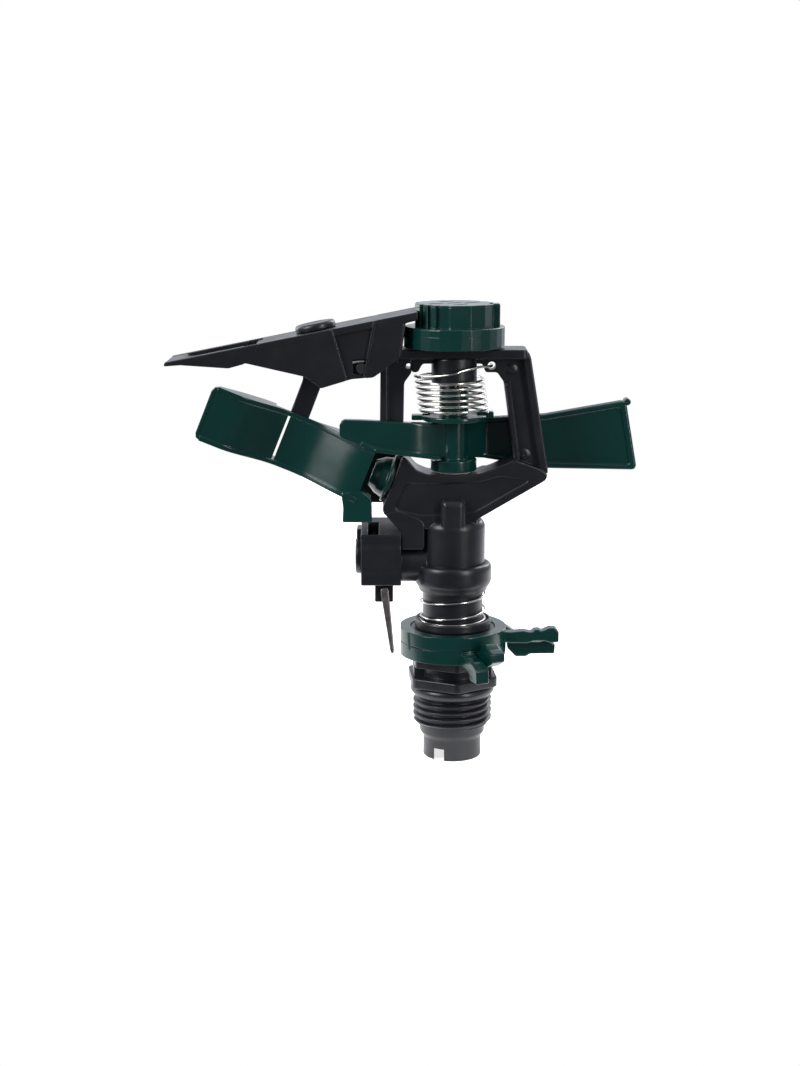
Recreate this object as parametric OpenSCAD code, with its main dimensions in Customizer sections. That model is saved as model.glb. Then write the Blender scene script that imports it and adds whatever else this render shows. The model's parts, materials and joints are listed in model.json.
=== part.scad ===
// Part-circle impact sprinkler head, millimetres.
// Z is the axis that the head turns about, and z = 0 is the bottom of the inlet.
// The jet leaves towards -X and upwards; -Y is the side with the beam's open face.

/* [Inlet] */
// Major radius of the G1/2 inlet thread
thread_r = 10.478; // [10.3:0.001:10.6]
// Pitch of the inlet thread
thread_pitch = 1.814; // [1.6:0.001:2]
// Number of full thread crests
thread_crests = 4; // [3:1:4]
// Height of the thread's lowest crest
thread_z = 10.6; // [10.5:0.05:10.7]
// Width across the flats of the spanner hexagon
hex_af = 22.6; // [22:0.1:23]
// Width across the flats of the flange that carries the collars
band_af = 21; // [20.6:0.1:21.4]

/* [Bearing] */
// Outer radius of the bearing tube
tube_r = 5.6; // [5.4:0.05:5.6]
// Radius of the water passage
water_r = 4.2; // [3.8:0.1:4.4]
// Radial clearance of every running fit
running = 0.05; // [0.02:0.01:0.1]

/* [Body] */
// Radius of the barrel inside the lower spring
barrel_r = 7.95; // [7.6:0.05:8]
// Half the depth of the nozzle housing and of the top bar
panel_y = 5.5; // [5.3:0.1:6]
// Half the depth of the two posts
post_y = 4.2; // [4:0.1:4.3]
// Half the depth of the thin web inside the frame's rim
web_y = 2.2; // [1.6:0.1:2.4]
// Height of the top bar's upper face
bar_z = 109.3; // [109:0.1:109.4]

/* [Jet] */
// Angle of the jet above the horizontal
jet_angle = 21; // [20:0.5:22]
// Radius of the nozzle's bore
nozzle_r = 1.9; // [1.5:0.1:2.2]

/* [Arm] */
// Radius of the arm's hub tube
hub_r = 3.8; // [3.6:0.1:3.9]
// Radius of the fulcrum pin
pin_r = 1.5; // [1.3:0.05:1.5]
// Gap from the beam's inner face to the axis
beam_in = 4.5; // [4.5:0.1:4.7]
// Outer face of the beam from the axis
beam_out = 8.1; // [8:0.1:8.3]

/* [Collars] */
// Inner radius of a trip collar
collar_in = 11.25; // [11.22:0.01:11.3]
// Outer radius of a trip collar
collar_r = 14.2; // [13.8:0.1:14.4]
// Height of a collar's ring
collar_h = 3.5; // [3.3:0.1:3.6]

/* [Springs] */
// Wire diameter of the arm's torsion spring
arm_wire = 0.75; // [0.7:0.05:0.8]
// Wire diameter of the spring on the barrel
barrel_wire = 0.65; // [0.6:0.05:0.7]

/* [Hidden] */
$fn = 48;
eps = 0.02;

black = [0.09, 0.09, 0.11];
green = [0.05, 0.27, 0.24];
steel = [0.75, 0.74, 0.73];
rubber = [0.03, 0.03, 0.03];

// Inlet levels, from the bottom up
plain_z = 7;
root_z = 9.8;
bulge_z = 18.2;
hex_z = 20;
window_z = 22.8;
band_z = 25.5;
seat_z = 28;
seat_top = 35.3;
seat_r = 11.2;
plain_r = 7.7;
collar_neck_r = 8.65;
core_r = 8.8;
flange_bore_r = 6.75;
flange_space = 8;
flange_z = 4.2;
cup_floor = 36.9;

// Head levels
barrel_z = 37.2;
sleeve_z = 45.4;
sleeve_r = 8.4;
sleeve_top = 64.6;
skirt_r = 10.2;
skirt_z = [45.4, 47.8, 53];
tube_top = 57;
pocket_depth = 0.4;
mouth = [-16.1, 75];
arm_z = 77.4;
hub_top = 99.4;
disc_z = 90.7;
boss_r = 5.9;
boss_z = 100.2;
web_z = 103.2;
web_top = 105.4;
bar_bottom = 106.9;
pin_bottom = 74;
pin_top = 114.2;

// Flap hinge, in X and Z, and the half width of the flap
flap_pivot = [-16.8, 110];
flap_y = 9;
flap_wall = 1.8;
flap_slope = 0.199;
flap_pin_r = 1.25;

// Trip mechanism: its axle runs along X
trip_z = 54.5;
trip_x = [-24.2, -13.7];
trip_tilt = -10;
axle_r = 1.2;
axle_end = -9.2;
narrow_r = 5;
narrow_z = 52.6;
pin_hinge = [-18, 45.2];
rod_r = 0.5;

function flap_top(x) = 119.2 + (x + 9.5) * flap_slope;

// A polygon in X and Z, extruded from y0 to y1
module wall_xz(points, y0, y1) {
    translate([0, y1, 0]) rotate([90, 0, 0]) linear_extrude(y1 - y0) polygon(points);
}

module ring(r_in, r_out, z0, z1) {
    difference() {
        translate([0, 0, z0]) cylinder(r = r_out, h = z1 - z0);
        translate([0, 0, z0 - 1]) cylinder(r = r_in, h = z1 - z0 + 2);
    }
}

// A cylinder along Y, centred on y = 0
module rod_y(x, z, r, half) {
    translate([x, half, z]) rotate([90, 0, 0]) cylinder(r = r, h = 2 * half);
}

// A cylinder along Y, from y0 to y1
module rod_y_at(x, z, r, y0, y1) {
    translate([x, y1, z]) rotate([90, 0, 0]) cylinder(r = r, h = y1 - y0);
}

// A cylinder along X
module rod_x(x0, x1, y, z, r) {
    translate([x0, y, z]) rotate([0, 90, 0]) cylinder(r = r, h = x1 - x0);
}

// The jet's own frame: +X along the jet, +Z square to it and upwards, +Y towards the open face
module along_jet(angle = jet_angle) {
    translate([mouth[0], 0, mouth[1]]) rotate([0, angle, 0]) rotate([0, 0, 180]) children();
}

// Wire swept along a list of centre points
module wire(points, r, sides = 6) {
    n = len(points);
    rings = [for (i = [0:n - 1])
        let (a = points[max(i - 1, 0)], b = points[min(i + 1, n - 1)],
             t = (b - a) / norm(b - a),
             side = abs(t[2]) < 0.9 ? cross(t, [0, 0, 1]) : cross(t, [0, 1, 0]),
             u = side / norm(side), v = cross(t, u))
        for (k = [0:sides - 1]) points[i] + r * (cos(360 * k / sides) * u + sin(360 * k / sides) * v)];
    faces = concat(
        [[for (k = [0:sides - 1]) k]],
        [for (i = [0:n - 2]) for (k = [0:sides - 1])
            [i * sides + k, (i + 1) * sides + k,
             (i + 1) * sides + (k + 1) % sides, i * sides + (k + 1) % sides]],
        [[for (k = [sides - 1:-1:0]) (n - 1) * sides + k]]);
    polyhedron(rings, faces, convexity = 10);
}

function coil(r, z0, z1, turns, start, lean = 0, per_turn = 16) =
    [for (i = [0:turns * per_turn])
        let (s = i / (turns * per_turn), a = start + 360 * turns * s)
        [r * cos(a) + lean * s, r * sin(a), z0 + (z1 - z0) * s]];

module hexagon(af, z0, z1) {
    translate([0, 0, z0]) rotate([0, 0, 30]) cylinder(r = af / 2 / cos(30), h = z1 - z0, $fn = 6);
}

// ---------- inlet ----------

module thread_crest(z) {
    flank = 0.62;
    crest = 0.2;
    rotate_extrude() polygon([
        [thread_r - 1.16, z - flank], [thread_r, z - crest],
        [thread_r, z + crest], [thread_r - 1.16, z + flank], [8, z + flank], [8, z - flank]
    ]);
}

module inlet_nipple() {
    chamfer = 0.6;
    core = thread_r - 1.1;
    color(black) difference() {
        union() {
            rotate_extrude() polygon([
                [5, 0], [plain_r - chamfer, 0], [plain_r, chamfer], [plain_r, plain_z - 1.4],
                [collar_neck_r, plain_z], [collar_neck_r, root_z], [core, root_z + 0.5],
                [core, hex_z + 0.2], [5, hex_z + 0.2]
            ]);
            for (i = [0:thread_crests - 1]) thread_crest(thread_z + i * thread_pitch);
            // rounded bulge between the thread and the hexagon
            rotate_extrude() polygon([
                [8, bulge_z - 1.4], [core, bulge_z - 1.4], [10.4, bulge_z - 0.9], [10.8, bulge_z - 0.3],
                [10.9, bulge_z + 0.3], [10.7, bulge_z + 0.9], [10, bulge_z + 1.3], [8, bulge_z + 1.3]
            ]);
            intersection() {
                hexagon(hex_af, hex_z, window_z);
                union() {
                    translate([0, 0, hex_z]) cylinder(r1 = 11.8, r2 = 12.9, h = 0.8);
                    translate([0, 0, hex_z + 0.8]) cylinder(r = 12.9, h = 1.2);
                    translate([0, 0, hex_z + 2]) cylinder(r1 = 12.9, r2 = 12.1, h = 0.8);
                }
            }
            translate([0, 0, hex_z]) cylinder(r = core_r, h = seat_z - hex_z);
            intersection() {
                hexagon(band_af, window_z - 0.2, band_z + eps);
                translate([-15, -4, 0]) cube([30, 8, 40]);
            }
            hexagon(band_af, band_z, seat_z);
            translate([0, 0, seat_z]) cylinder(r = seat_r, h = seat_top - seat_z);
        }
        translate([0, 0, -1]) cylinder(r = tube_r + running, h = 40);
        translate([0, 0, -1]) cylinder(r = flange_bore_r, h = 1 + flange_space);
        // notch across the lower end
        translate([-4.9, -10, -1]) cube([3.2, 20, 4.1]);
    }
}

module spring_cup() {
    color(black) rotate_extrude() polygon([
        [6, seat_top], [9.8, seat_top], [10.1, seat_top + 0.4], [10.1, 37.5], [9.9, 37.8],
        [9.5, 37.8], [9.4, cup_floor], [6, cup_floor]
    ]);
}

module slip_washer() {
    color([0.85, 0.85, 0.82]) ring(5.8, 6.6, flange_z + 2.8, flange_space);
}

module barrel_spring() {
    r = barrel_r + 0.25 + barrel_wire / 2;
    half = barrel_wire / 2;
    bottom = cup_floor + half;
    top = skirt_z[0] - half - 0.3;
    color(steel) wire(concat(
        coil(r, bottom, bottom + 0.9, 1, 180),
        [for (p = coil(r, bottom + 0.9, top, 1.6, 180)) if (p[2] > bottom + 1.1) p]), half);
}

// ---------- trip collars ----------

// A split ring with two crossed finger tabs, one above the other
module collar(z, reach) {
    tab_w = 3.2;
    difference() {
        union() {
            ring(collar_in, collar_r, z, z + collar_h);
            // upper tab
            translate([12.4, -0.4 - tab_w, z + 0.2]) cube([reach - 13.4, tab_w, collar_h - 0.4]);
            translate([reach - 6, -0.6 - tab_w, z + 0.2]) cube([6, tab_w + 0.3, collar_h + 0.6]);
            // lower tab, hung below the ring outside it
            translate([12.4, 0.4, z]) cube([3.4, tab_w, collar_h]);
            translate([14.7, 0.4, z - 3.4]) cube([reach - 16, tab_w, 4.4]);
            translate([reach - 6, 0.3, z - 3.8]) cube([6, tab_w + 0.3, 4]);
        }
        // the split between the two tabs' roots
        translate([10, -0.4, z - 5]) cube([5.2, 0.8, 12]);
        // thumb notches in the tab ends
        rod_y(reach - 7.8, z + collar_h + 0.9, 1.6, 6);
        rod_y(reach - 4, z - 0.15, 0.9, 6);
        rod_y(reach - 7.6, z - 4.2, 1.4, 6);
    }
}

module collar_lower() {
    color(green) rotate([0, 0, -66]) collar(seat_z + 0.3, 24.5);
}

module collar_upper() {
    color(green) rotate([0, 0, 2]) collar(seat_z + 0.3 + collar_h + 0.3, 28);
}

// ---------- bearing ----------

module bearing_tube() {
    color(black) difference() {
        union() {
            translate([0, 0, flange_z]) cylinder(r = tube_r, h = tube_top - flange_z);
            translate([0, 0, flange_z]) cylinder(r = 6.6, h = 1.6);
        }
        cylinder(r = water_r, h = 60);
    }
}

module rubber_washer() {
    color(rubber) ring(tube_r, 6.6, flange_z + 1.6, flange_z + 2.5);
}

// ---------- body ----------

housing_outline = [
    [-18.2, 66.3], [-18.7, 68.1], [-13.5, 81.7], [-12.3, 81.3], [-9.6, 78.2], [-6.6, 77],
    [6, 77], [10, 78.4], [15.7, 81], [22.6, 78.4], [24.3, 77.2], [24, 75.6], [6, 65.1],
    [6, 62.6], [-7.8, 62.6], [-14.8, 65.4]
];
housing_pocket = [
    [-15.8, 68.6], [-12.6, 77.6], [-8.8, 75.4], [6.4, 75], [12, 76.6], [19.6, 75.6], [5.2, 67.2],
    [-8, 66.4], [-13, 67.2]
];
right_post = [
    [15.7, 80], [12.8, 100.6], [11, web_z], [11, bar_z], [17.4, bar_z], [19.1, 108.4], [19.6, 107],
    [24.3, 78.6], [24.3, 77]
];
right_rim = [
    [22.2, 78.2], [17.6, bar_bottom], [17.6, bar_z - eps], [17.4, bar_z], [19.1, 108.4], [19.6, 107],
    [24.3, 78.6], [24.3, 77]
];
left_post = [
    [-13.4, 79.6], [-13.2, 84], [-12.9, 100.6], [-11, web_z], [-11, bar_z], [-17.4, bar_z],
    [-19, 107.8], [-19.2, 88], [-16.2, 83.4], [-14.2, 82.2], [-13.6, 80]
];
left_rim = [[-19.2, 89], [-19, 107.8], [-17.2, 107.8], [-17.2, 90.4]];

module frame_web() {
    half = web_y;
    wall_xz(right_post, -half, half);
    wall_xz(left_post, -half - 0.8, half + 0.8);
    wall_xz([
        [-12, web_z - 0.4], [-9.4, web_z], [-8.2, web_top], [7.2, web_top], [8, web_z], [12, web_z - 0.4],
        [12, bar_bottom + 0.1], [-12, bar_bottom + 0.1]
    ], -1.4, 1.4);
    translate([-18, -panel_y, bar_bottom]) cube([36, 2 * panel_y, bar_z - bar_bottom]);
}

module frame_rim() {
    wall_xz(right_rim, -post_y, post_y);
    wall_xz(left_rim, -post_y, post_y);
    wall_xz([[15.7, 81], [14.4, 89.6], [15.6, 89.6], [17.2, 79.8]], -3.2, 3.2);
    // raised ejector discs at the frame's corners
    for (p = [[14.4, 103.6], [18.2, 81.6], [-15.7, 103.8]]) rod_y(p[0], p[1], 1.5, web_y + 0.4);
}

module hinge_lug() {
    x = flap_pivot[0];
    z = flap_pivot[1];
    rod_y(x, z, 2.6, 5.4);
    translate([x - 2.2, -5.4, 106]) cube([4.8, 10.8, z - 106]);
}

module trip_arm() {
    difference() {
        union() {
            wall_xz([
                [-18, 66.6], [-14.8, 65.6], [-7.6, 62.8], [-7.6, 56.4], [-13.4, 56.4], [-13.4, 62.2],
                [-14.6, 62.6]
            ], -5.5, -3.4);
            wall_xz([[-14.8, 66], [-7.6, 62.8], [-7.6, 58.4], [-13.4, 59.6], [-13.4, 64.6]], 2, 4.6);
        }
        rod_x(-20, 0, 0, narrow_z, narrow_r);
    }
}

// Dark wall behind the nozzle, on a strip of the housing's rear face
module jet_shroud() {
    wall_xz([[-27, 73], [-24.6, 78.2], [-20.4, 81.6], [-13.4, 81], [-13.6, 77], [-18.2, 67.4], [-21.5, 67.4],
        [-24.8, 69.8]], 6.8, 8.2);
    wall_xz([[-18, 69.4], [-16.2, 69.4], [-13.2, 78], [-12.9, 80.2], [-13.8, 80.2]], 5.4, 6.9);
}

module body() {
    color(black) difference() {
        union() {
            translate([0, 0, barrel_z]) cylinder(r = barrel_r, h = 60 - barrel_z);
            translate([0, 0, sleeve_z]) cylinder(r = sleeve_r, h = sleeve_top - 1.2 - sleeve_z);
            translate([0, 0, sleeve_top - 1.2]) cylinder(r1 = sleeve_r, r2 = sleeve_r - 1.2, h = 1.2);
            wall_xz(housing_outline, -panel_y, panel_y);
            frame_web();
            frame_rim();
            hinge_lug();
            trip_arm();
            jet_shroud();
            translate([0, 0, boss_z]) cylinder(r = boss_r, h = bar_bottom - boss_z + eps);
            translate([-0.2, -5, 62]) cylinder(r = 3.2, h = 7.9);
            translate([-0.2, -5, 69.9]) cylinder(r1 = 3.2, r2 = 2.3, h = 0.9);
        }
        // room for the paddle behind the right-hand side of the housing
        wall_xz([[8, 78], [25, 75.6], [26, 84], [8, 84]], post_y, panel_y + 1);
        // recessed faces of the housing
        wall_xz(housing_pocket, panel_y - pocket_depth, panel_y + 1);
        difference() {
            wall_xz(housing_pocket, -panel_y - 1, pocket_depth - panel_y);
            translate([-0.2, -5, 60]) cylinder(r = 3.2, h = 10.8);
        }
        // water passage, tube socket and jet channel
        translate([0, 0, 30]) cylinder(r = water_r, h = 39.6);
        translate([0, 0, 30]) cylinder(r = tube_r, h = tube_top - 30);
        along_jet() translate([-16, 0, 0]) rotate([0, 90, 0]) cylinder(r = 3.4, h = 18);
        // fulcrum pin, top and bottom
        translate([0, 0, pin_bottom]) cylinder(r = pin_r, h = 50);
        // spring holes in the top web
        for (x = [-11.2, 9.6]) rod_y(x, 104.9, 1.05, 8);
        rod_y(flap_pivot[0], flap_pivot[1], flap_pin_r, 12);
        // drain slot in the side of the front boss
        rod_x(1, 5, -6.4, 67.4, 0.6);
        rod_x(1, 5, -6.4, 66.4, 0.6);
    }
}

module sand_skirt() {
    color(black) difference() {
        rotate_extrude() polygon([
            [sleeve_r, skirt_z[0]], [8.9, skirt_z[0]], [9, 46.4], [skirt_r - 0.2, skirt_z[1]],
            [skirt_r, 48.4], [skirt_r, skirt_z[2] - 0.7], [skirt_r - 0.7, skirt_z[2]], [sleeve_r, skirt_z[2]]
        ]);
        rod_x(-12, 0, 0, narrow_z, narrow_r);
    }
}

module nozzle() {
    color(green) along_jet() rotate([0, 90, 0]) rotate_extrude() polygon([
        [nozzle_r + 0.9, -6], [3.4, -6], [3.4, 0.4], [6.4, 0.4], [6.4, 1.6], [5.8, 2.4], [5.2, 4.8],
        [4.2, 5.6], [nozzle_r, 5.6], [nozzle_r, -2]
    ]);
}

module nozzle_gasket() {
    color(rubber) along_jet() rotate([0, 90, 0]) ring(3.5, 5.6, 0, 0.4);
}

module fulcrum_pin() {
    color(steel) translate([0, 0, pin_bottom]) cylinder(r = pin_r, h = pin_top - pin_bottom);
}

module arm_washer() {
    color([0.85, 0.85, 0.82]) ring(pin_r + 0.1, 4.6, 77, 77.2);
}

// Torsion spring round the hub: its ends reach out to the holes in the top web
module arm_spring() {
    r = 9.2 - arm_wire / 2;
    low = disc_z + 1.3 + arm_wire / 2 + 0.1;
    high = 102.2;
    turns = 6.625;
    hook = [[-1.5, -7.7, 103.1], [2.5, -6.9, 104.2], [6.5, -5, 104.9], [8.8, -3.6, 104.9],
            [9.6, -2, 104.9], [9.6, 2.6, 104.9]];
    color(steel) wire(concat(coil(r, low, high, turns, 0, -1.4), hook), arm_wire / 2);
}

module flap_pivot_pin() {
    color(steel) rod_y(flap_pivot[0], flap_pivot[1], flap_pin_r, 8.1);
}

// ---------- trip mechanism ----------

module trip_housing() {
    x0 = trip_x[0];
    x1 = trip_x[1];
    color(black) difference() {
        union() {
            // block with a roof that rises to the rear
            translate([x0, 0, 0]) rotate([90, 0, 90]) linear_extrude(x1 - x0)
                polygon([[-6.5, 47.6], [6.5, 47.6], [6.5, 63.6], [-6.5, 61.2]]);
            translate([x0 - 1.2, 0, 58]) cube([3, 6, 3.6]);
            rod_x(x1 - eps, -5, 0, narrow_z, narrow_r);
        }
        // seat against the barrel's sleeve
        translate([0, 0, 40]) cylinder(r = sleeve_r, h = 30);
        rod_x(x0 + 2.2, x1 - 1.6, 0, trip_z, 5.1);
        rod_x(x0 - 2, axle_end, 0, trip_z, axle_r);
        rod_x(x1 + 0.4, axle_end - 0.6, 0, narrow_z, narrow_r - 0.9);
        // slot under the lever and the square hole in the roof
        translate([-21.8, -3.6, 40]) cube([6.5, 7.2, 12]);
        translate([-22.4, -5.9, 56]) cube([2.8, 8.3, 9]);
    }
}

module trip_axle() {
    color(steel) rod_x(trip_x[0] + 0.2, axle_end, 0, trip_z, axle_r);
}

module trip_end_cap() {
    color(black) difference() {
        rod_x(trip_x[0] - 1.5, trip_x[0], 0, trip_z, 4.7);
        translate([-30, -7, 58]) cube([10, 14, 6]);
        rod_x(trip_x[0] - 0.8, trip_x[0] + 1, 0, trip_z, axle_r + 0.2);
    }
}

module trip_spring() {
    color(steel) translate([-13, 0, trip_z]) rotate([0, 90, 0])
        wire(coil(1.8, 0, 2.8, 4, 0, 0, 12), 0.25, 5);
}

// The lever's own frame: the axle is the origin, and the lower end leans to the open face
module along_lever() {
    translate([0, 0, trip_z]) rotate([trip_tilt, 0, 0]) children();
}

module trip_lever() {
    color(black) along_lever() difference() {
        union() {
            rod_x(-21.4, -15.6, 0, 0, 3.2);
            translate([-20.6, -1.6, -12.2]) cube([4.8, 3.2, 12.2]);
            translate([-21.4, -1.2, 0]) cube([1.4, 2.4, 6.2]);
        }
        rod_x(-30, -10, 0, 0, axle_r + running);
        rod_y(pin_hinge[0], pin_hinge[1] - trip_z, rod_r, 4);
    }
}

module pin_hinge_rod() {
    z = pin_hinge[1] - trip_z;
    color(steel) along_lever() {
        rod_y_at(pin_hinge[0], z, rod_r, -3.6, 1.6);
        rod_y_at(pin_hinge[0], z, 0.85, -3.8, -3.3);
    }
}

module trip_pin() {
    color(steel) along_lever() translate([pin_hinge[0], 0, pin_hinge[1] - trip_z]) difference() {
        union() {
            rod_y_at(0, 0, 1.1, -3.1, -1.9);
            wall_xz([[-1.1, 0], [1.1, 0], [2.5, -15.9], [1.7, -16.5], [1, -15.9]], -3.1, -1.9);
        }
        rod_y(0, 0, rod_r + running, 4);
    }
}

// ---------- adjuster cap ----------

module adjuster_cap() {
    ring_z = bar_z + 0.3;
    ring_top = 115;
    drum_top = 120.8;
    color(green) difference() {
        union() {
            translate([0, 0, ring_z]) cylinder(r = 13, h = ring_top - 0.5 - ring_z);
            translate([0, 0, ring_top - 0.5]) cylinder(r1 = 13, r2 = 12.6, h = 0.5);
            translate([0, 0, ring_top]) cylinder(r = 9.9, h = drum_top - ring_top);
            for (a = [-100, -72, -44, 60, 100, 140])
                rotate([0, 0, a]) translate([8.4, -2.2, ring_top])
                    cube([2.2, 4.4, drum_top - ring_top - 0.2]);
            translate([8.6, -3, ring_top]) cube([3, 4, drum_top - ring_top]);
        }
        // hollow skirt round a central boss that turns on the pin
        ring(3.2, 11.4, ring_z - 1, ring_z + 3);
        translate([0, 0, ring_z - 1]) cylinder(r = 3.3, h = 2.2);
        translate([0, 0, ring_z]) cylinder(r = pin_r + running, h = 5);
        // grip flutes on the drum
        for (a = [-118, -132, -146, 20, 80, 120])
            rotate([0, 0, a]) translate([10.4, 0, ring_top]) cylinder(r = 0.9, h = 8);
        // three shallow slots in the top
        for (a = [-30, 30, 90]) rotate([0, 0, a]) translate([3, -0.7, drum_top - 0.8]) cube([4.6, 1.4, 2]);
    }
}

module cap_clip() {
    color(steel) ring(pin_r, 2.6, bar_z + 0.6, bar_z + 1.1);
}

// ---------- arm ----------

beam_profile = [
    [-29.2, 87], [-29.6, 90.4], [-28.4, 91.7], [-24, 91.5], [0, 90], [0, 81], [-20, 83.2], [-24, 84.8]
];
beam_pocket = [[-27.6, 88.2], [-28.2, 93], [-4.4, 93], [-4.4, 82.4], [-19.6, 84.6], [-23.6, 86.2]];
paddle_profile = [
    [0, 90], [24, 91.3], [44.6, 94.9], [45.4, 94.3], [48.4, 77.6], [47.8, 76.6], [24.6, 77], [0, 81]
];
paddle_pocket = [[6.4, 88.4], [24.2, 89.6], [43.8, 92.9], [46.3, 78.2], [24.8, 78.9], [6.4, 82]];

module beam_plan(length, side) {
    translate([0, 0, 70]) linear_extrude(30) polygon([
        [side * length, side * beam_out], [side * 4, side * beam_out], [side * 0.5, side * 3.6],
        [0, 0], [side * 3.4, side * 1.2], [side * 8, side * beam_in], [side * length, side * beam_in]
    ]);
}

module arm_beam() {
    difference() {
        intersection() {
            wall_xz(beam_profile, -12, 12);
            beam_plan(32, -1);
        }
        wall_xz(beam_pocket, -beam_out - 1, -beam_out + 0.7);
    }
    difference() {
        intersection() {
            wall_xz(paddle_profile, -12, 12);
            beam_plan(50, 1);
        }
        for (y = [[beam_in - 1, beam_in + 0.6], [beam_out - 0.6, beam_out + 1]])
            wall_xz(paddle_pocket, y[0], y[1]);
    }
    rod_y_at(45.6, 94.6, 0.9, beam_in, beam_out);
}

module arm_hub() {
    difference() {
        union() {
            translate([0, 0, arm_z + 0.1]) cylinder(r = 6, h = 3);
            translate([0, 0, arm_z + 0.1]) cylinder(r = hub_r, h = hub_top - arm_z - 0.1);
            translate([0, 0, disc_z]) cylinder(r = 8.6, h = 1.3);
            translate([-11, -1.8, disc_z]) cube([5, 3.6, 1.3]);
            translate([6, 0.6, disc_z]) cube([4.4, 2.6, 1.3 - eps]);
        }
        translate([0, 0, 70]) cylinder(r = 2.3, h = 40);
    }
}

// Front edge of the scoop along the jet: near, then set back at the slit, then near again
scoop_near = 8.2;
scoop_back = 0.9;
scoop_span = [7, 8, 26, 29, 45, 51.6];
function swing(t) = (1 - cos(180 * t)) / 2;
function part_way(u, i) = swing((u - scoop_span[i]) / (scoop_span[i + 1] - scoop_span[i]));
function scoop_edge(u) =
    u < scoop_span[1] ? scoop_near
    : u < scoop_span[2] ? scoop_near - (scoop_near - scoop_back) * part_way(u, 1)
    : u < scoop_span[3] ? scoop_back
    : u < scoop_span[4] ? scoop_back + (scoop_near - scoop_back) * part_way(u, 3)
    : scoop_near;
function edge_points(u0, u1, steps, inset = 0) =
    [for (i = [0:steps]) let (u = u0 + (u1 - u0) * i / steps) [u, scoop_edge(u) - inset]];
scoop_w = [-8, 6.8];
slit_u = 30.9;
plate_t = 1.3;
vane_t = 1.2;

module scoop_plate(w) {
    translate([0, 0, w]) linear_extrude(plate_t) polygon(concat(
        edge_points(scoop_span[0], scoop_span[5], 24),
        [[51.6, 6.4], [44, 0.5], [36, -5], [15, -5], [9, 0]]));
}

module scoop_vane(u0, u1) {
    translate([0, 0, scoop_w[0] + 0.2]) linear_extrude(scoop_w[1] - scoop_w[0] - 0.4) polygon(concat(
        edge_points(u0, u1, 14, 0.3), [for (p = edge_points(u1, u0, 14, 0.3 + vane_t)) p]));
}

module scoop() {
    difference() {
        along_jet(22) {
            scoop_plate(scoop_w[0]);
            scoop_plate(scoop_w[1] - plate_t);
            scoop_vane(scoop_span[0], slit_u - 0.6);
            scoop_vane(slit_u + 0.6, scoop_span[5]);
        }
        // rear slot that lets the flap's leg through the top plate
        translate([-45.4, -0.1, 86]) cube([11.4, 14, 16]);
    }
}

module anvil() {
    wall_xz([
        [-29.2, 72.6], [-28.7, 68.6], [-28.9, 64.9], [-21.2, 64.9], [-21.3, 69.4], [-21.5, 71.5], [-24, 73.2]
    ], -8, -3.6);
}

module arm() {
    color(green) {
        difference() {
            union() {
                arm_beam();
                arm_hub();
            }
            translate([0, 0, 70]) cylinder(r = 2.3, h = 40);
        }
        scoop();
        anvil();
    }
}

module arm_bushes() {
    color([0.72, 0.55, 0.28]) {
        ring(pin_r + running, 2.3, arm_z + 0.1, arm_z + 5.1);
        ring(pin_r + running, 2.3, hub_top - 5, hub_top);
    }
}

// ---------- deflector flap ----------

flap_profile = [
    [-73.8, flap_top(-73.8)], [-73.9, 105.4], [-69.7, 105.7], [-57.6, 104.9], [-53.2, 106.2],
    [-38.3, 102.8], [-34.1, 99.8], [-26.4, 102.1], [-20.8, 102.6], [-18.6, 104.1], [-13.7, 108.1],
    [-12.6, 116.3], [-9.5, 117.1], [-9.5, flap_top(-9.5)]
];
flap_hollow = [
    [-54, 100], [-54, flap_top(-54) - 1.6], [-13.4, flap_top(-13.4) - 1.6], [-13.4, 100]
];
ear_gap = [[-13.6, 100], [-13.6, 125], [-5, 125], [-5, 100]];
groove = [[-31.4, 120], [-20.1, 120], [-23.1, 102.6], [-27.6, 101.6]];
detent_y = -5.4;
tip_tray = [[-69, 106.7], [-69, 112], [-49.6, 112], [-52.4, 108.4], [-54, 106.7]];

// The knob's place on the sloping top
module at_knob() {
    translate([-35.6, 0, flap_top(-35.6)]) rotate([0, -11.25, 0]) children();
}

module flap_leg() {
    wall_xz([[-39.2, 104], [-34.3, 101], [-34.4, 99.4], [-38.2, 89.6], [-42.9, 91.5], [-39.2, 101]], 0.8, 5.5);
}

module deflector_flap() {
    color(black) {
        difference() {
            wall_xz(flap_profile, -flap_y, flap_y);
            wall_xz(flap_hollow, -flap_y + flap_wall, flap_y - flap_wall);
            wall_xz(ear_gap, -flap_y + 1.4, flap_y - 1.4);
            wall_xz(tip_tray, -flap_y + 2.6, flap_y - 2.6);
            // tapered recess in each side, with a small window at its foot
            for (s = [-1, 1]) wall_xz(groove, s * flap_y - 0.6, s * flap_y + 0.6);
            wall_xz([[-26, 103.4], [-26, 107.1], [-22.2, 107.1], [-22.2, 103.4]], -flap_y - 1, -flap_y + 3);
            rod_y(flap_pivot[0], flap_pivot[1], flap_pin_r + running, 8.3);
            at_knob() cylinder(r = 2, h = 8, center = true);
        }
        difference() {
            wall_xz([[-40, 103], [-40, flap_top(-40) - 1], [-33, flap_top(-33) - 1], [-33, 101]], 0.5, 5.5);
            at_knob() cylinder(r = 2.6, h = 8, center = true);
        }
        // rib that carries the detent behind the near window
        wall_xz([[-27, 103], [-27, flap_top(-27) - 1], [-21.4, flap_top(-21.4) - 1], [-21.4, 103]],
            detent_y, detent_y + 1.4);
        flap_leg();
    }
}

module flap_knob() {
    color(black) at_knob() {
        cylinder(r = 5.25, h = 1.4);
        translate([0, 0, 1.4]) cylinder(r1 = 5.25, r2 = 4.75, h = 0.5);
        translate([0, 0, -1.9]) cylinder(r = 2, h = 2);
    }
}

module flap_detent() {
    color([0.45, 0.45, 0.46]) rod_y_at(-23.8, 104.9, 1.3, -8.6, detent_y);
}

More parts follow.
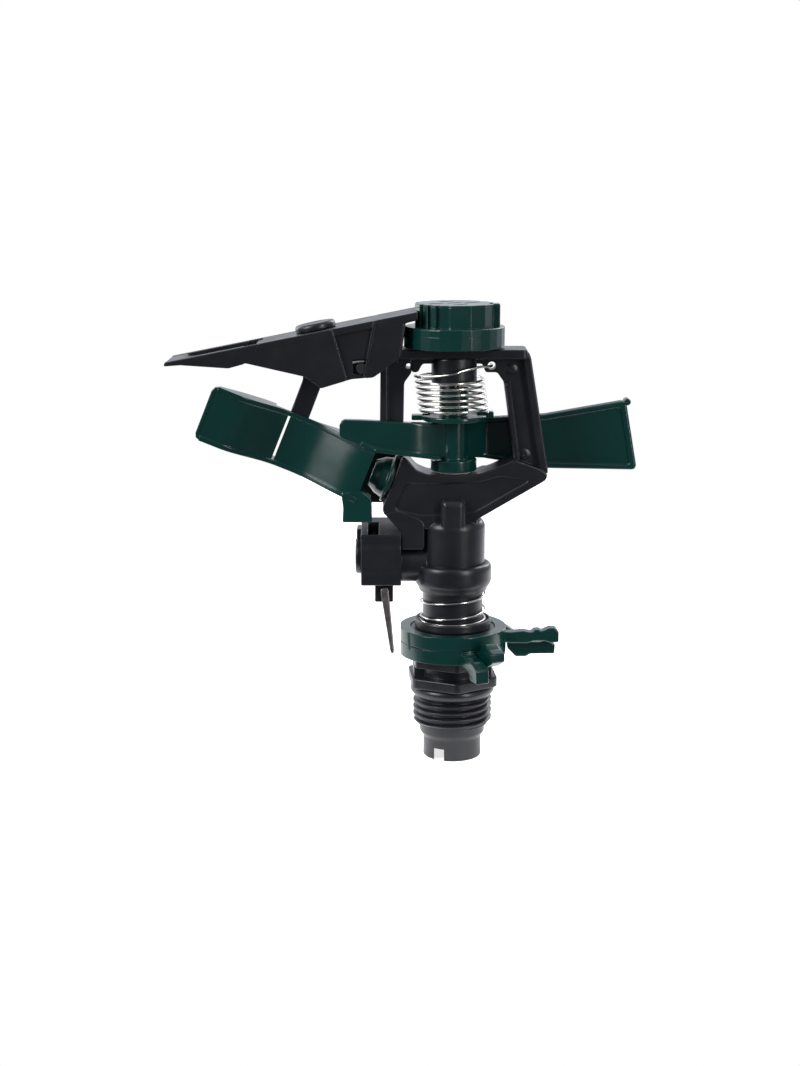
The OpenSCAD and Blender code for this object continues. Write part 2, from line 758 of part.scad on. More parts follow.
module detent_clip() {
    color(steel) wire([[-26, -8, 106.4], [-24.4, -8.1, 106.6], [-23.2, -8, 106.6], [-22.6, -7.6, 106.6],
        [-22.6, -6.4, 106.6], [-22.8, detent_y, 106.6]], 0.3);
}

inlet_nipple();
spring_cup();
slip_washer();
barrel_spring();
collar_lower();
collar_upper();
bearing_tube();
rubber_washer();
body();
sand_skirt();
nozzle();
nozzle_gasket();
fulcrum_pin();
arm_washer();
arm_spring();
flap_pivot_pin();
trip_housing();
trip_axle();
trip_end_cap();
trip_spring();
adjuster_cap();
cap_clip();
arm();
arm_bushes();
deflector_flap();
flap_knob();
flap_detent();
detent_clip();
trip_lever();
pin_hinge_rod();
trip_pin();
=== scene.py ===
import json
import math

import bmesh
import bpy
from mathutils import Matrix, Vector
from mathutils.geometry import tessellate_polygon


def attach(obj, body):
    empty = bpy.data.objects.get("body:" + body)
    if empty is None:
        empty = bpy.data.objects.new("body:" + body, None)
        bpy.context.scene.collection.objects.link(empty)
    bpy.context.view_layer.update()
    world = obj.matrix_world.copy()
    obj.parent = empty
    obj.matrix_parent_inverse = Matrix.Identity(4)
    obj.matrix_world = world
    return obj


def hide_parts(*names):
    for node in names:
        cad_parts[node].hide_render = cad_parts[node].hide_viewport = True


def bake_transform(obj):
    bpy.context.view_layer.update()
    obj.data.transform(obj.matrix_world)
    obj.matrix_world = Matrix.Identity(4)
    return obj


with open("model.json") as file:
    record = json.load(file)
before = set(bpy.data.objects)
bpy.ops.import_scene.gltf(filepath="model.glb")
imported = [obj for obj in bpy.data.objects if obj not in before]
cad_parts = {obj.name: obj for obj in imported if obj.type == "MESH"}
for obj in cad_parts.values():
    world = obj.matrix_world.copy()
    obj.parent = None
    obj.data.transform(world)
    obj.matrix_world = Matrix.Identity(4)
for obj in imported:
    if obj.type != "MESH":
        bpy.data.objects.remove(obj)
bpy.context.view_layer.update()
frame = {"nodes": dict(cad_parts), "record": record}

# The part-circle impact sprinkler. Shapes are worked out in millimetres in the frame of the CAD
# (z = 0 at the inlet's end, +Z the turning axis, the jet towards -X) and stored in metres.
MM = 0.001

# ---------- camera, light and floor ----------

# The camera stands EYE metres from the origin and looks down by TILT_DOWN degrees.
EYE = Vector((-0.014, -0.455, 0.1556))
TILT_DOWN = 11.8
FOCAL = 39.74
SENSOR_HEIGHT = 24

# The paper sheet: its tone, its own glow, its radius and how far behind the object its centre lies
FLOOR = 0.9
FLOOR_GLOW = 0.75
FLOOR_R = 0.24
FLOOR_BACK = 0.2
FLOOR_SIDES = 96

# The room that the plastic reflects: its least and greatest strength, and where it is brightest
ROOM_LOW = 0.12
ROOM_HIGH = 1.0
ROOM_TINT = (0.88, 0.92, 1, 1)
BRIGHT_SIDE = (-0.1, 0.9, 0.4)

# Each lamp's name, place, the height it is aimed at on the turning axis, size and power
LAMPS = (
    ("key", (-0.55, -0.35, 0.45), 0.08, (0.25, 0.45), 4.0),
    ("side", (0.4, -0.5, 0.3), 0.07, (0.09, 0.6), 2.4),
    ("rim", (0.35, 0.5, 0.45), 0.08, (0.25, 0.5), 2.0),
    ("rim_left", (-0.5, 0.4, 0.3), 0.08, (0.2, 0.5), 1.6),
)


def make_camera():
    data = bpy.data.cameras.new("camera")
    data.sensor_fit = "VERTICAL"
    data.sensor_height = SENSOR_HEIGHT
    data.lens = FOCAL
    data.clip_start = 0.01
    camera = bpy.data.objects.new("camera", data)
    bpy.context.scene.collection.objects.link(camera)
    camera.location = EYE
    camera.rotation_euler = (math.radians(90 - TILT_DOWN), 0, 0)
    bpy.context.scene.camera = camera


def area_light(name, place, aim_height, size, power):
    data = bpy.data.lights.new(name, "AREA")
    data.shape = "RECTANGLE"
    data.size, data.size_y = size
    data.energy = power
    light = bpy.data.objects.new(name, data)
    bpy.context.scene.collection.objects.link(light)
    light.location = place
    aim = Vector((0, 0, aim_height)) - Vector(place)
    light.rotation_euler = aim.to_track_quat("-Z", "Y").to_euler()


def make_world():
    """White behind the object; in what the plastic reflects, a room that is dim in front of it."""
    scene = bpy.context.scene
    scene.view_settings.view_transform = "Standard"
    world = bpy.data.worlds.new("studio")
    scene.world = world
    world.use_nodes = True
    tree = world.node_tree
    back = tree.nodes["Background"]
    room = tree.nodes.new("ShaderNodeBackground")
    room.inputs["Color"].default_value = ROOM_TINT
    towards = tree.nodes.new("ShaderNodeVectorMath")
    towards.operation = "DOT_PRODUCT"
    towards.inputs[1].default_value = BRIGHT_SIDE
    tree.links.new(tree.nodes.new("ShaderNodeTexCoord").outputs["Generated"], towards.inputs[0])
    glow = add(tree, "ShaderNodeMapRange", From_Min=-0.6, From_Max=0.9, To_Min=ROOM_LOW, To_Max=ROOM_HIGH)
    tree.links.new(towards.outputs["Value"], glow.inputs["Value"])
    tree.links.new(glow.outputs["Result"], room.inputs["Strength"])
    back.inputs["Color"].default_value = (1, 1, 1, 1)
    back.inputs["Strength"].default_value = 1.0
    choose = tree.nodes.new("ShaderNodeMixShader")
    tree.links.new(tree.nodes.new("ShaderNodeLightPath").outputs["Is Camera Ray"], choose.inputs["Fac"])
    tree.links.new(room.outputs["Background"], choose.inputs[1])
    tree.links.new(back.outputs["Background"], choose.inputs[2])
    tree.links.new(choose.outputs["Shader"], tree.nodes["World Output"].inputs["Surface"])


def make_floor():
    """A round sheet of white paper; the white background carries on beyond its edge."""
    mesh = bpy.data.meshes.new("floor")
    turns = [math.tau * k / FLOOR_SIDES for k in range(FLOOR_SIDES)]
    edge = [(FLOOR_R * math.cos(t), FLOOR_R * math.sin(t) + FLOOR_BACK, 0) for t in turns]
    mesh.from_pydata(edge, [], [tuple(range(FLOOR_SIDES))])
    floor = bpy.data.objects.new("floor", mesh)
    bpy.context.scene.collection.objects.link(floor)
    floor.data.materials.append(floor_paper())


# ---------- materials ----------


def new_material(name):
    material = bpy.data.materials.new(name)
    material.use_nodes = True
    tree = material.node_tree
    shader = tree.nodes["Principled BSDF"]
    return material, tree, shader


def add(tree, kind, **inputs):
    node = tree.nodes.new(kind)
    for key, value in inputs.items():
        node.inputs[key.replace("_", " ")].default_value = value
    return node


def noise(tree, coords, per_mm, detail=3.0, rough=0.5):
    node = add(tree, "ShaderNodeTexNoise", Scale=per_mm / MM, Detail=detail, Roughness=rough)
    tree.links.new(coords, node.inputs["Vector"])
    return node.outputs["Fac"]


def spread(tree, value, low, high, start=0.3, end=0.7):
    """Maps a texture's start..end to low..high."""
    node = add(tree, "ShaderNodeMapRange", From_Min=start, From_Max=end, To_Min=low, To_Max=high)
    tree.links.new(value, node.inputs["Value"])
    return node.outputs["Result"]


def mix_colour(tree, factor, first, second):
    node = tree.nodes.new("ShaderNodeMix")
    node.data_type = "RGBA"
    for key, value in (("Factor", factor), ("A", first), ("B", second)):
        socket = node.inputs[key]
        if isinstance(value, tuple):
            socket.default_value = (*value, 1)
        else:
            tree.links.new(value, socket)
    return node.outputs["Result"]


def object_coords(tree):
    return tree.nodes.new("ShaderNodeTexCoord").outputs["Object"]


def soft_edges(tree, radius):
    """The normal with its edges rounded, and a mask that is 1 on the edges."""
    bevel = add(tree, "ShaderNodeBevel", Radius=radius * MM)
    bevel.samples = 6
    flat = tree.nodes.new("ShaderNodeNewGeometry")
    dot = tree.nodes.new("ShaderNodeVectorMath")
    dot.operation = "DOT_PRODUCT"
    tree.links.new(bevel.outputs["Normal"], dot.inputs[0])
    tree.links.new(flat.outputs["Normal"], dot.inputs[1])
    edge = spread(tree, dot.outputs["Value"], 1, 0, start=0.6, end=0.97)
    return bevel.outputs["Normal"], edge


def bumped(tree, shader, height, depth_mm, normal=None):
    node = add(tree, "ShaderNodeBump", Strength=1.0, Distance=depth_mm * MM)
    tree.links.new(height, node.inputs["Height"])
    if normal is not None:
        tree.links.new(normal, node.inputs["Normal"])
    tree.links.new(node.outputs["Normal"], shader.inputs["Normal"])


def moulded_plastic(name, dark, light, rough, grain, round_mm=0.22):
    """Moulded plastic: slow colour drift, flow marks in the gloss, faint waves and scuffed edges."""
    material, tree, shader = new_material(name)
    coords = object_coords(tree)
    normal, edge = soft_edges(tree, round_mm)
    drift = noise(tree, coords, 0.05)
    colour = mix_colour(tree, spread(tree, drift, 0, 1), dark, light)
    scuff = noise(tree, coords, 1.1, detail=6, rough=0.7)
    worn = tree.nodes.new("ShaderNodeMath")
    worn.operation = "MULTIPLY"
    tree.links.new(edge, worn.inputs[0])
    tree.links.new(spread(tree, scuff, 0, 0.22, 0.45, 0.75), worn.inputs[1])
    pale = tuple(min(1, c * 2.2 + 0.015) for c in light)
    tree.links.new(mix_colour(tree, worn.outputs[0], colour, pale), shader.inputs["Base Color"])
    flow = noise(tree, coords, 0.16, detail=5)
    tree.links.new(spread(tree, flow, rough * 0.85, rough * 1.2), shader.inputs["Roughness"])
    bumped(tree, shader, noise(tree, coords, 0.35, detail=2), grain, normal)
    shader.inputs["IOR"].default_value = 1.5
    return material


def steel(name, tone, rough, fine):
    """Drawn steel: patchy tone, a changing polish and very faint drawing marks."""
    material, tree, shader = new_material(name)
    coords = object_coords(tree)
    shader.inputs["Metallic"].default_value = 1.0
    cloud = noise(tree, coords, 0.5)
    dull = tuple(c * 0.88 for c in tone)
    tree.links.new(mix_colour(tree, spread(tree, cloud, 0, 1), dull, tone), shader.inputs["Base Color"])
    marks = noise(tree, coords, fine, detail=4)
    tree.links.new(spread(tree, marks, rough * 0.8, rough * 1.3), shader.inputs["Roughness"])
    bumped(tree, shader, marks, 0.0006)
    return material


def dull_soft(name, dark, light, rough):
    """Rubber or a plain washer: matt, with a fine mottled grain."""
    material, tree, shader = new_material(name)
    coords = object_coords(tree)
    mottle = noise(tree, coords, 2.2, detail=5, rough=0.65)
    tree.links.new(mix_colour(tree, spread(tree, mottle, 0, 1), dark, light), shader.inputs["Base Color"])
    tree.links.new(spread(tree, mottle, rough * 0.9, min(1, rough * 1.1)), shader.inputs["Roughness"])
    bumped(tree, shader, mottle, 0.02)
    return material


def floor_paper():
    material, tree, shader = new_material("floor_paper")
    coords = object_coords(tree)
    fibre = noise(tree, coords, 0.5, detail=4)
    tree.links.new(mix_colour(tree, fibre, (FLOOR - 0.01,) * 3, (FLOOR,) * 3), shader.inputs["Base Color"])
    shader.inputs["Roughness"].default_value = 0.9
    shader.inputs["Emission Color"].default_value = (1, 0.985, 0.96, 1)
    shader.inputs["Emission Strength"].default_value = FLOOR_GLOW
    return material


BLACK = moulded_plastic("black_plastic", (0.0075, 0.008, 0.011), (0.011, 0.0115, 0.0155), 0.34, 0.01)
GREEN = moulded_plastic("green_plastic", (0.001, 0.026, 0.023), (0.002, 0.036, 0.031), 0.2, 0.01)
WIRE = steel("spring_wire", (0.6, 0.58, 0.55), 0.2, 2.0)
PIN = steel("pin_steel", (0.26, 0.24, 0.23), 0.36, 1.2)
RUBBER = dull_soft("rubber_seal", (0.012, 0.012, 0.012), (0.03, 0.03, 0.03), 0.75)
PALE = dull_soft("pale_washer", (0.7, 0.68, 0.6), (0.82, 0.8, 0.74), 0.5)
GREY = moulded_plastic("grey_plastic", (0.02, 0.02, 0.022), (0.03, 0.03, 0.034), 0.3, 0.006)
BRASS = steel("bush_brass", (0.74, 0.52, 0.24), 0.3, 1.2)

# What each record slot looks like here
LOOKS = {
    "black_plastic": BLACK, "green_plastic": GREEN, "spring_steel": WIRE, "pin_steel": PIN,
    "rubber_seal": RUBBER, "pale_plastic": PALE, "grey_plastic": GREY, "bush_brass": BRASS,
}
SLOT = {part["node"]: part["material_slot"] for part in frame["record"]["subparts"]}
BODY = {}
for body_name, nodes in frame["record"]["behaviour"]["bodies"].items():
    for one_node in nodes:
        BODY[one_node] = body_name

# ---------- shapes in millimetres ----------

RIM_STEPS = 3


def rounded(points, reach, steps=4):
    """The closed outline with every corner eased by a curve that starts that far from it."""
    eased = []
    count = len(points)
    for i in range(count):
        here = Vector(points[i])
        before = Vector(points[i - 1]) - here
        after = Vector(points[(i + 1) % count]) - here
        if before.angle(-after, 0) < math.radians(8):
            eased.append(tuple(here))
            continue
        start = here + before.normalized() * min(reach, before.length * 0.45)
        end = here + after.normalized() * min(reach, after.length * 0.45)
        for k in range(steps + 1):
            t = k / steps
            eased.append(tuple(start * (1 - t) ** 2 + here * 2 * t * (1 - t) + end * t * t))
    return eased


def circle(a, b, radius, count=32):
    turns = (math.tau * k / count for k in range(count))
    return [(a + radius * math.cos(t), b + radius * math.sin(t)) for t in turns]


def rectangle(a0, a1, b0, b1, reach=0.3):
    return rounded([(a0, b0), (a1, b0), (a1, b1), (a0, b1)], reach)


def signed_area(points):
    return sum(p[0] * q[1] - q[0] * p[1] for p, q in zip(points, points[1:] + points[:1])) / 2


def turned_way(points, anticlockwise):
    return points if (signed_area(points) > 0) == anticlockwise else points[::-1]


def shrunk(points, inset):
    """The outline moved in by inset on its left-hand side."""
    moved = []
    count = len(points)
    for i in range(count):
        here = Vector(points[i])
        arrive = (here - Vector(points[i - 1])).normalized()
        leave = (Vector(points[(i + 1) % count]) - here).normalized()
        left = Vector((-arrive.y - leave.y, arrive.x + leave.x))
        reach = 1 + arrive.dot(leave)
        moved.append(tuple(here + left * (inset / max(reach, 0.6))))
    return moved


def upright(a, b, h):
    """An outline in X and Z, extruded along Y."""
    return Vector((a, h, b))


def level(a, b, h):
    """An outline in X and Y, extruded along Z."""
    return Vector((a, b, h))


def sideways(a, b, h):
    """An outline in Y and Z, extruded along X."""
    return Vector((h, a, b))


def along_x(y, z):
    """A frame whose third axis runs along X through that point."""
    def place(a, b, h):
        return Vector((h, y + a, z + b))
    return place


def along_y(x, z):
    """A frame whose third axis runs along Y through that point."""
    def place(a, b, h):
        return Vector((x + a, h, z + b))
    return place


JET_START = (-16.1, 75)
NOZZLE_RISE = 21
SCOOP_RISE = 22


def along_jet(rise):
    """A frame with its first axis along the jet, its second to the open face and its third upwards."""
    cos, sin = math.cos(math.radians(rise)), math.sin(math.radians(rise))

    def place(u, v, w):
        return Vector((JET_START[0] - u * cos + w * sin, -v, JET_START[1] + u * sin + w * cos))
    return place


def skin(work, rings, closed=False):
    """Walls between rings of vertices with the same count."""
    pairs = list(zip(rings, rings[1:]))
    if closed:
        pairs.append((rings[-1], rings[0]))
    for one, two in pairs:
        for k in range(len(one)):
            n = (k + 1) % len(one)
            work.faces.new((one[k], one[n], two[n], two[k]))


def plate(work, outline, low, high, edge=0.25, holes=(), place=upright):
    """A flat moulding between two levels, with rounded rims and with holes right through it."""
    loops = [turned_way(list(outline), True)] + [turned_way(list(h), False) for h in holes]
    steps = [math.pi / 2 * k / RIM_STEPS for k in range(RIM_STEPS + 1)]
    profile = [(edge * (1 - math.sin(t)), low + edge * (1 - math.cos(t))) for t in steps]
    profile += [(inset, low + high - h) for inset, h in reversed(profile)]
    ends = ([], [])
    flats = ([], [])
    for loop in loops:
        rings = []
        for inset, h in profile:
            points = shrunk(loop, inset)
            rings.append([work.verts.new(place(a, b, h)) for a, b in points])
            if h in (profile[0][1], profile[-1][1]):
                side = 0 if h == profile[0][1] else 1
                flats[side].append([Vector((a, b, 0)) for a, b in points])
                ends[side].extend(rings[-1])
        skin(work, rings)
    for side in (0, 1):
        for corner in tessellate_polygon(flats[side]):
            work.faces.new([ends[side][k] for k in corner])


def turned(work, profile, place=level, count=72, ease=0.25):
    """A closed outline of radius and height, turned about the third axis of place."""
    shape = rounded(profile, ease, 3) if ease else profile
    rings = []
    for k in range(count):
        t = math.tau * k / count
        rings.append([work.verts.new(place(r * math.cos(t), r * math.sin(t), h)) for r, h in shape])
    skin(work, rings, closed=True)


def rod(work, radius, low, high, place=level, ease=0.25, bore=0.01):
    turned(work, [(bore, low), (radius, low), (radius, high), (bore, high)], place, 48, ease)


def tube_frames(points):
    """A steady pair of side directions at each point of a path."""
    side = None
    frames = []
    for i, here in enumerate(points):
        ahead = (points[min(i + 1, len(points) - 1)] - points[max(i - 1, 0)]).normalized()
        if side is None:
            side = ahead.orthogonal()
        side = (side - ahead * side.dot(ahead)).normalized()
        frames.append((side.copy(), ahead.cross(side)))
    return frames


def wire(work, path, radius, sides=12):
    """Round wire along a path, with domed ends."""
    points = [Vector(p) for p in path]
    rings = []
    for here, (side, other) in zip(points, tube_frames(points)):
        turns = (math.tau * k / sides for k in range(sides))
        around = [side * math.cos(t) + other * math.sin(t) for t in turns]
        rings.append([work.verts.new(here + radius * way) for way in around])
    skin(work, rings)
    tips = (points[0] * 1.5 - points[1] * 0.5, points[-1] * 1.5 - points[-2] * 0.5)
    for ring, tip in zip((rings[0], rings[-1]), tips):
        top = work.verts.new(tip)
        for k in range(sides):
            work.faces.new((ring[k], ring[(k + 1) % sides], top))


def coil(radius, low, high, turns, start=0, lean=0, per_turn=40):
    count = round(turns * per_turn)
    path = []
    for i in range(count + 1):
        s = i / count
        t = math.radians(start) + math.tau * turns * s
        path.append((radius * math.cos(t) + lean * s, radius * math.sin(t), low + (high - low) * s))
    return path


def smooth_path(points, per_span=8):
    """A Catmull-Rom curve through the points."""
    knots = [Vector(p) for p in points]
    ends = [knots[0] * 2 - knots[1]] + knots + [knots[-1] * 2 - knots[-2]]
    path = []
    for a, b, c, d in zip(ends, ends[1:], ends[2:], ends[3:]):
        for k in range(per_span):
            t = k / per_span
            path.append((b * 2 + (c - a) * t + (a * 2 - b * 5 + c * 4 - d) * t ** 2
                         + (b * 3 - a - c * 3 + d) * t ** 3) / 2)
    return path + [knots[-1]]


def loft(work, stations, ease=0.5):
    """A bar along X through stations of x, y0, y1, z0, z1 with eased corners."""
    rings = []
    for x, y0, y1, z0, z1 in stations:
        reach = min(ease, (y1 - y0) * 0.3, (z1 - z0) * 0.3)
        rings.append([work.verts.new((x, a, b)) for a, b in rectangle(y0, y1, z0, z1, reach)])
    skin(work, rings)
    for ring in (rings[0], rings[-1]):
        work.faces.new(ring)


# ---------- making pieces ----------

WELD = 0.0004


def finished(node, work, angle=38):
    """The shells as one piece that stands for the node."""
    bmesh.ops.remove_doubles(work, verts=work.verts, dist=WELD)
    bmesh.ops.recalc_face_normals(work, faces=work.faces)
    bmesh.ops.scale(work, vec=(MM, MM, MM), verts=work.verts)
    title = node + "_skin"
    mesh = bpy.data.meshes.new(title)
    work.to_mesh(mesh)
    work.free()
    mesh.materials.append(LOOKS[SLOT[node]])
    for polygon in mesh.polygons:
        polygon.use_smooth = True
    mesh.set_sharp_from_angle(angle=math.radians(angle))
    piece = bpy.data.objects.new(title, mesh)
    bpy.context.scene.collection.objects.link(piece)
    modifier = piece.modifiers.new("weighted", "WEIGHTED_NORMAL")
    modifier.keep_sharp = True
    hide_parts(node)
    return piece


def made(node, work, **how):
    """The piece, riding with the node's body."""
    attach(finished(node, work, **how), BODY[node])


# ---------- inlet ----------

THREAD_R = 10.478
THREAD_CORE = 9.38
PITCH = 1.814
CREST_HALF = 0.72
FLANK = 0.5
THREAD_SIDES = 96
THREAD_ROWS = 160
END_IN = 6.75
END_OUT = 7.7
BORE_R = 5.65
HEX_TURN = 4.6
SEAT_R = 11.2


def crest_height(phase):
    """How much of the thread's depth is left at this many pitches from a crest."""
    off = abs(phase - round(phase)) * PITCH
    return max(0.0, min(1.0, (CREST_HALF - off) / FLANK))


def thread(work, low=8.9, high=16.9, first=10.6):
    """The inlet's right-hand thread, which fades in and out at its ends."""
    rings = []
    for i in range(THREAD_ROWS + 1):
        z = low + (high - low) * i / THREAD_ROWS
        fade = max(0.0, min(1.0, (z - low) / 1.2, (high - z) / 1.0))
        ring = []
        for k in range(THREAD_SIDES):
            t = k / THREAD_SIDES
            depth = (THREAD_R - THREAD_CORE) * crest_height((z - first) / PITCH - t) * fade
            r = THREAD_CORE + depth
            ring.append(work.verts.new((r * math.cos(math.tau * t), r * math.sin(math.tau * t), z)))
        rings.append(ring)
    skin(work, rings)
    for ring, z in ((rings[0], low), (rings[-1], high)):
        inside = [work.verts.new((v.co.x * 0.7, v.co.y * 0.7, z)) for v in ring]
        skin(work, [ring, inside])


def band(r_in, r_out, x, side):
    """The part of a ring in plan that lies beyond x on one side."""
    outer = math.acos(x / r_out) if side > 0 else math.pi - math.acos(x / r_out)
    inner = math.acos(x / r_in) if side > 0 else math.pi - math.acos(x / r_in)
    middle = 0 if side > 0 else math.pi
    count = 40 if side > 0 else 16
    points = []
    for r, reach, way in ((r_out, outer, 1), (r_in, inner, -1)):
        for k in range(count + 1):
            t = middle + way * reach * (2 * k / count - 1)
            points.append((r * math.cos(t), r * math.sin(t)))
    return points


def hexagon(across_flats, turn=0.0):
    radius = across_flats / 2 / math.cos(math.radians(30))
    corners = (math.radians(30 + turn + 60 * k) for k in range(6))
    return [(radius * math.cos(t), radius * math.sin(t)) for t in corners]


def make_inlet():
    work = bmesh.new()
    bore = circle(0, 0, BORE_R, 64)
    # the open end, in two arcs with notches between them
    plate(work, band(END_IN, END_OUT, -2.3, 1), 0, 3.3, 0.18, place=level)
    plate(work, band(END_IN, END_OUT, -4.9, -1), 0, 3.3, 0.18, place=level)
    turned(work, [
        (END_IN, 3.1), (END_OUT, 3.1), (END_OUT, 5.4), (8.65, 6.8), (8.65, 9.3), (9.3, 10), (END_IN, 10)
    ])
    thread(work)
    # the bulge over the thread, then two hexagons with webs between them
    turned(work, [
        (BORE_R, 15.9), (9.3, 15.9), (9.6, 16.7), (10.6, 17.3), (SEAT_R, 18.2), (SEAT_R, 19.2), (10.7, 19.9),
        (9.3, 20.4), (BORE_R, 20.4)
    ], ease=0.5)
    plate(work, rounded(hexagon(22.6, HEX_TURN), 1.2), 20.1, 22.8, 0.35, [bore], level)
    turned(work, [(BORE_R, 20), (8.8, 20), (8.8, 28.2), (BORE_R, 28.2)])
    for side in (-1, 1):
        web = [(side * x, y) for x, y in ((6.2, -4.6), (10.3, -4.6), (10.6, 0), (10.3, 4.6), (6.2, 4.6))]
        plate(work, rounded(web, 0.4), 22.5, 25.7, 0.05, place=level)
    plate(work, rounded(hexagon(21, HEX_TURN), 0.8), 25.5, 28, 0.25, [bore], level)
    # the collars' seat
    turned(work, [(BORE_R, 27.8), (SEAT_R, 27.8), (SEAT_R, 35.3), (BORE_R, 35.3)])
    made("inlet_nipple", work)


def make_spring_cup():
    work = bmesh.new()
    turned(work, [
        (6, 35.3), (9.8, 35.3), (10.1, 35.7), (10.1, 37.4), (9.9, 37.8), (9.5, 37.8), (9.4, 36.9), (6, 36.9)
    ], ease=0.15)
    made("spring_cup", work)


def make_barrel_spring():
    """One closed turn in the cup, then an open coil up to the sand skirt."""
    work = bmesh.new()
    radius, foot, first_turn, top = 8.53, 37.25, 38.1, 44.8
    path = coil(radius, foot, first_turn, 1, 180) + coil(radius, first_turn, top, 1.6, 180)[4:]
    wire(work, path, 0.3)
    made("barrel_spring", work, angle=80)


# ---------- trip collars ----------


def flats(angles, radius, far, step=6):
    """A ring outline in plan with flat facets between the given angles and a curve elsewhere."""
    low, high = angles[0], angles[-1]
    points = [(radius * math.cos(math.radians(a)), radius * math.sin(math.radians(a))) for a in angles]
    count = round((360 - (high - low)) / step)
    for k in range(1, count):
        a = math.radians(high + (360 - (high - low)) * k / count)
        points.append((radius * math.cos(a), radius * math.sin(a)))
    return [(max(x, far), y) for x, y in points]


def turned_about_z(angle, lift=0.0):
    cos, sin = math.cos(math.radians(angle)), math.sin(math.radians(angle))

    def place(a, b, h):
        return Vector((a * cos - h * sin, a * sin + h * cos, b + lift))
    return place


COLLAR_R = 14.2
COLLAR_FLAT = -13.9
COLLAR_BORE = 11.25

# Finger tabs, as reach from the axis and height over the collar's foot
FRONT_HIGH_TAB = [
    (12.2, 0.2), (12.2, 3), (15, 3), (16.6, 6.1), (18.4, 6.3), (20.6, 5.2), (22.6, 4.8), (22.8, 2.6),
    (21.2, 1.6), (19, 0.4), (15, 0.2)
]
FRONT_LOW_TAB = [
    (12.2, 0.2), (12.2, 3), (14.8, 3), (16, 2.5), (19.6, 2.3), (22.4, 0.8), (22.6, -2.8), (18.4, -2.9),
    (17.8, -0.9), (15.4, -0.5)
]
SIDE_HIGH_TAB = [
    (12.2, -0.2), (12.2, 2.6), (15, 2.2), (18.7, 2.5), (20.8, 2.1), (21.4, 2.8), (22.8, 2.9), (23.6, 2.4),
    (25.6, 3.3), (27.2, 3.2), (28, 2.2), (28, -0.6), (25.8, -0.8), (24.4, -0.2), (21.2, -0.2), (19.6, -0.8),
    (15, -0.7)
]
SIDE_LOW_TAB = [
    (14.5, 2.8), (12.2, 2.8), (12.2, 0.4), (14.5, 0.3), (14.7, -3.2), (17, -5.6), (19.8, -5.6),
    (20.8, -4.9), (27.4, -4.9), (27.6, -2.4), (26.2, -1.6), (24.6, -1.3), (23.4, -1.7), (20.6, -1.6),
    (19, -0.4)
]


def make_collar(node, z, turn, height, facets, tabs):
    """A split ring with two finger tabs; each tab is an outline between two distances to the side."""
    work = bmesh.new()
    outline = flats(facets, COLLAR_R, COLLAR_FLAT)
    plate(work, outline, z, z + height, 0.15, [circle(0, 0, COLLAR_BORE, 72)], level)
    place = turned_about_z(turn, z)
    for outline, low, high in tabs:
        plate(work, rounded(outline, 0.45), low, high, 0.35, place=place)
    made(node, work)


def make_collars():
    make_collar("collar_lower", 28.3, -66, 3.68, [-134, -128, -122, -107, -85],
                [(FRONT_HIGH_TAB, 0.4, 4), (FRONT_LOW_TAB, -4, -0.4)])
    make_collar("collar_upper", 32.1, 2, 3.5, [-131, -123, -107, -85],
                [(SIDE_HIGH_TAB, -3.8, -0.4), (SIDE_LOW_TAB, 0.4, 3.8)])


# ---------- body ----------

# Half depths of the posts and of the housing, and the holes for the fulcrum pin and the arm's spring
POST_Y = 4.2
PANEL_Y = 5.5
PIN_HOLE = 1.52
SPRING_HOLE_X = 9.6
SPRING_HOLE_Z = 104.9
HINGE = (-16.8, 110)
TUBE_SOCKET = 5.6
BARREL_R = 7.95
SLEEVE_R = 8.4
SLEEVE_FOOT = 45.4
SKIRT_IN = 8.42

# Outlines in X and Z
FRAME_WEB = [
    (15.7, 80), (12.8, 100.6), (11, 103.2), (8, 103.2), (7.2, 105.4), (-8.2, 105.4), (-9.4, 103.2),
    (-11, 103.2), (-11, 108), (17.4, 109.2), (19, 108.3), (19.5, 107), (24.2, 78.6), (24.2, 77.6)
]
LEFT_POST = [
    (-13.4, 79.6), (-13.2, 84), (-12.9, 100.6), (-11, 103.2), (-11, 109.2), (-17.4, 109.2), (-19, 107.8),
    (-19.2, 88), (-16.2, 83.4), (-14.2, 82.2), (-13.6, 80)
]
RIGHT_RIM = [
    (22.2, 78.2), (17.6, 106.9), (17.2, 109.2), (17.9, 109.2), (19.1, 108.4), (19.6, 107), (24.3, 78.6),
    (24.3, 77)
]
LEFT_RIM = [(-19.2, 89), (-19, 107.8), (-17.2, 107.8), (-17.2, 90.4)]
INNER_RIM = [(15.7, 81), (13.1, 100.2), (14.2, 101), (17.2, 79.8)]
HOUSING = [
    (-18.2, 66.3), (-18.7, 68.1), (-13.5, 81.7), (-12.3, 81.3), (-9.6, 78.2), (-6.6, 77), (6, 77),
    (10, 78.4), (15.7, 81), (22.6, 78.4), (24.3, 77.2), (24, 75.6), (6, 65.1), (6, 62.6), (-7.8, 62.6),
    (-14.8, 65.4)
]
HOUSING_REAR = [
    (-18.2, 66.3), (-18.7, 68.1), (-13.5, 81.7), (-12.3, 81.3), (-9.6, 78.2), (-6.6, 77), (6, 77),
    (8, 77.9), (23.8, 75.5), (6, 65.1), (6, 62.6), (-7.8, 62.6), (-14.8, 65.4)
]
REAR_POCKET = [
    (-15.8, 68.6), (-12.6, 76.8), (-8.8, 75.2), (6.4, 75), (9, 75.6), (15, 73.8), (5.2, 67.2), (-8, 66.4),
    (-13, 67.2)
]
FRONT_POCKET = [
    (-15.4, 67.9), (-12.3, 75), (-8.8, 74.4), (6.4, 75), (12, 76.6), (19.6, 75.6), (5.2, 67.2), (-8, 66.4)
]
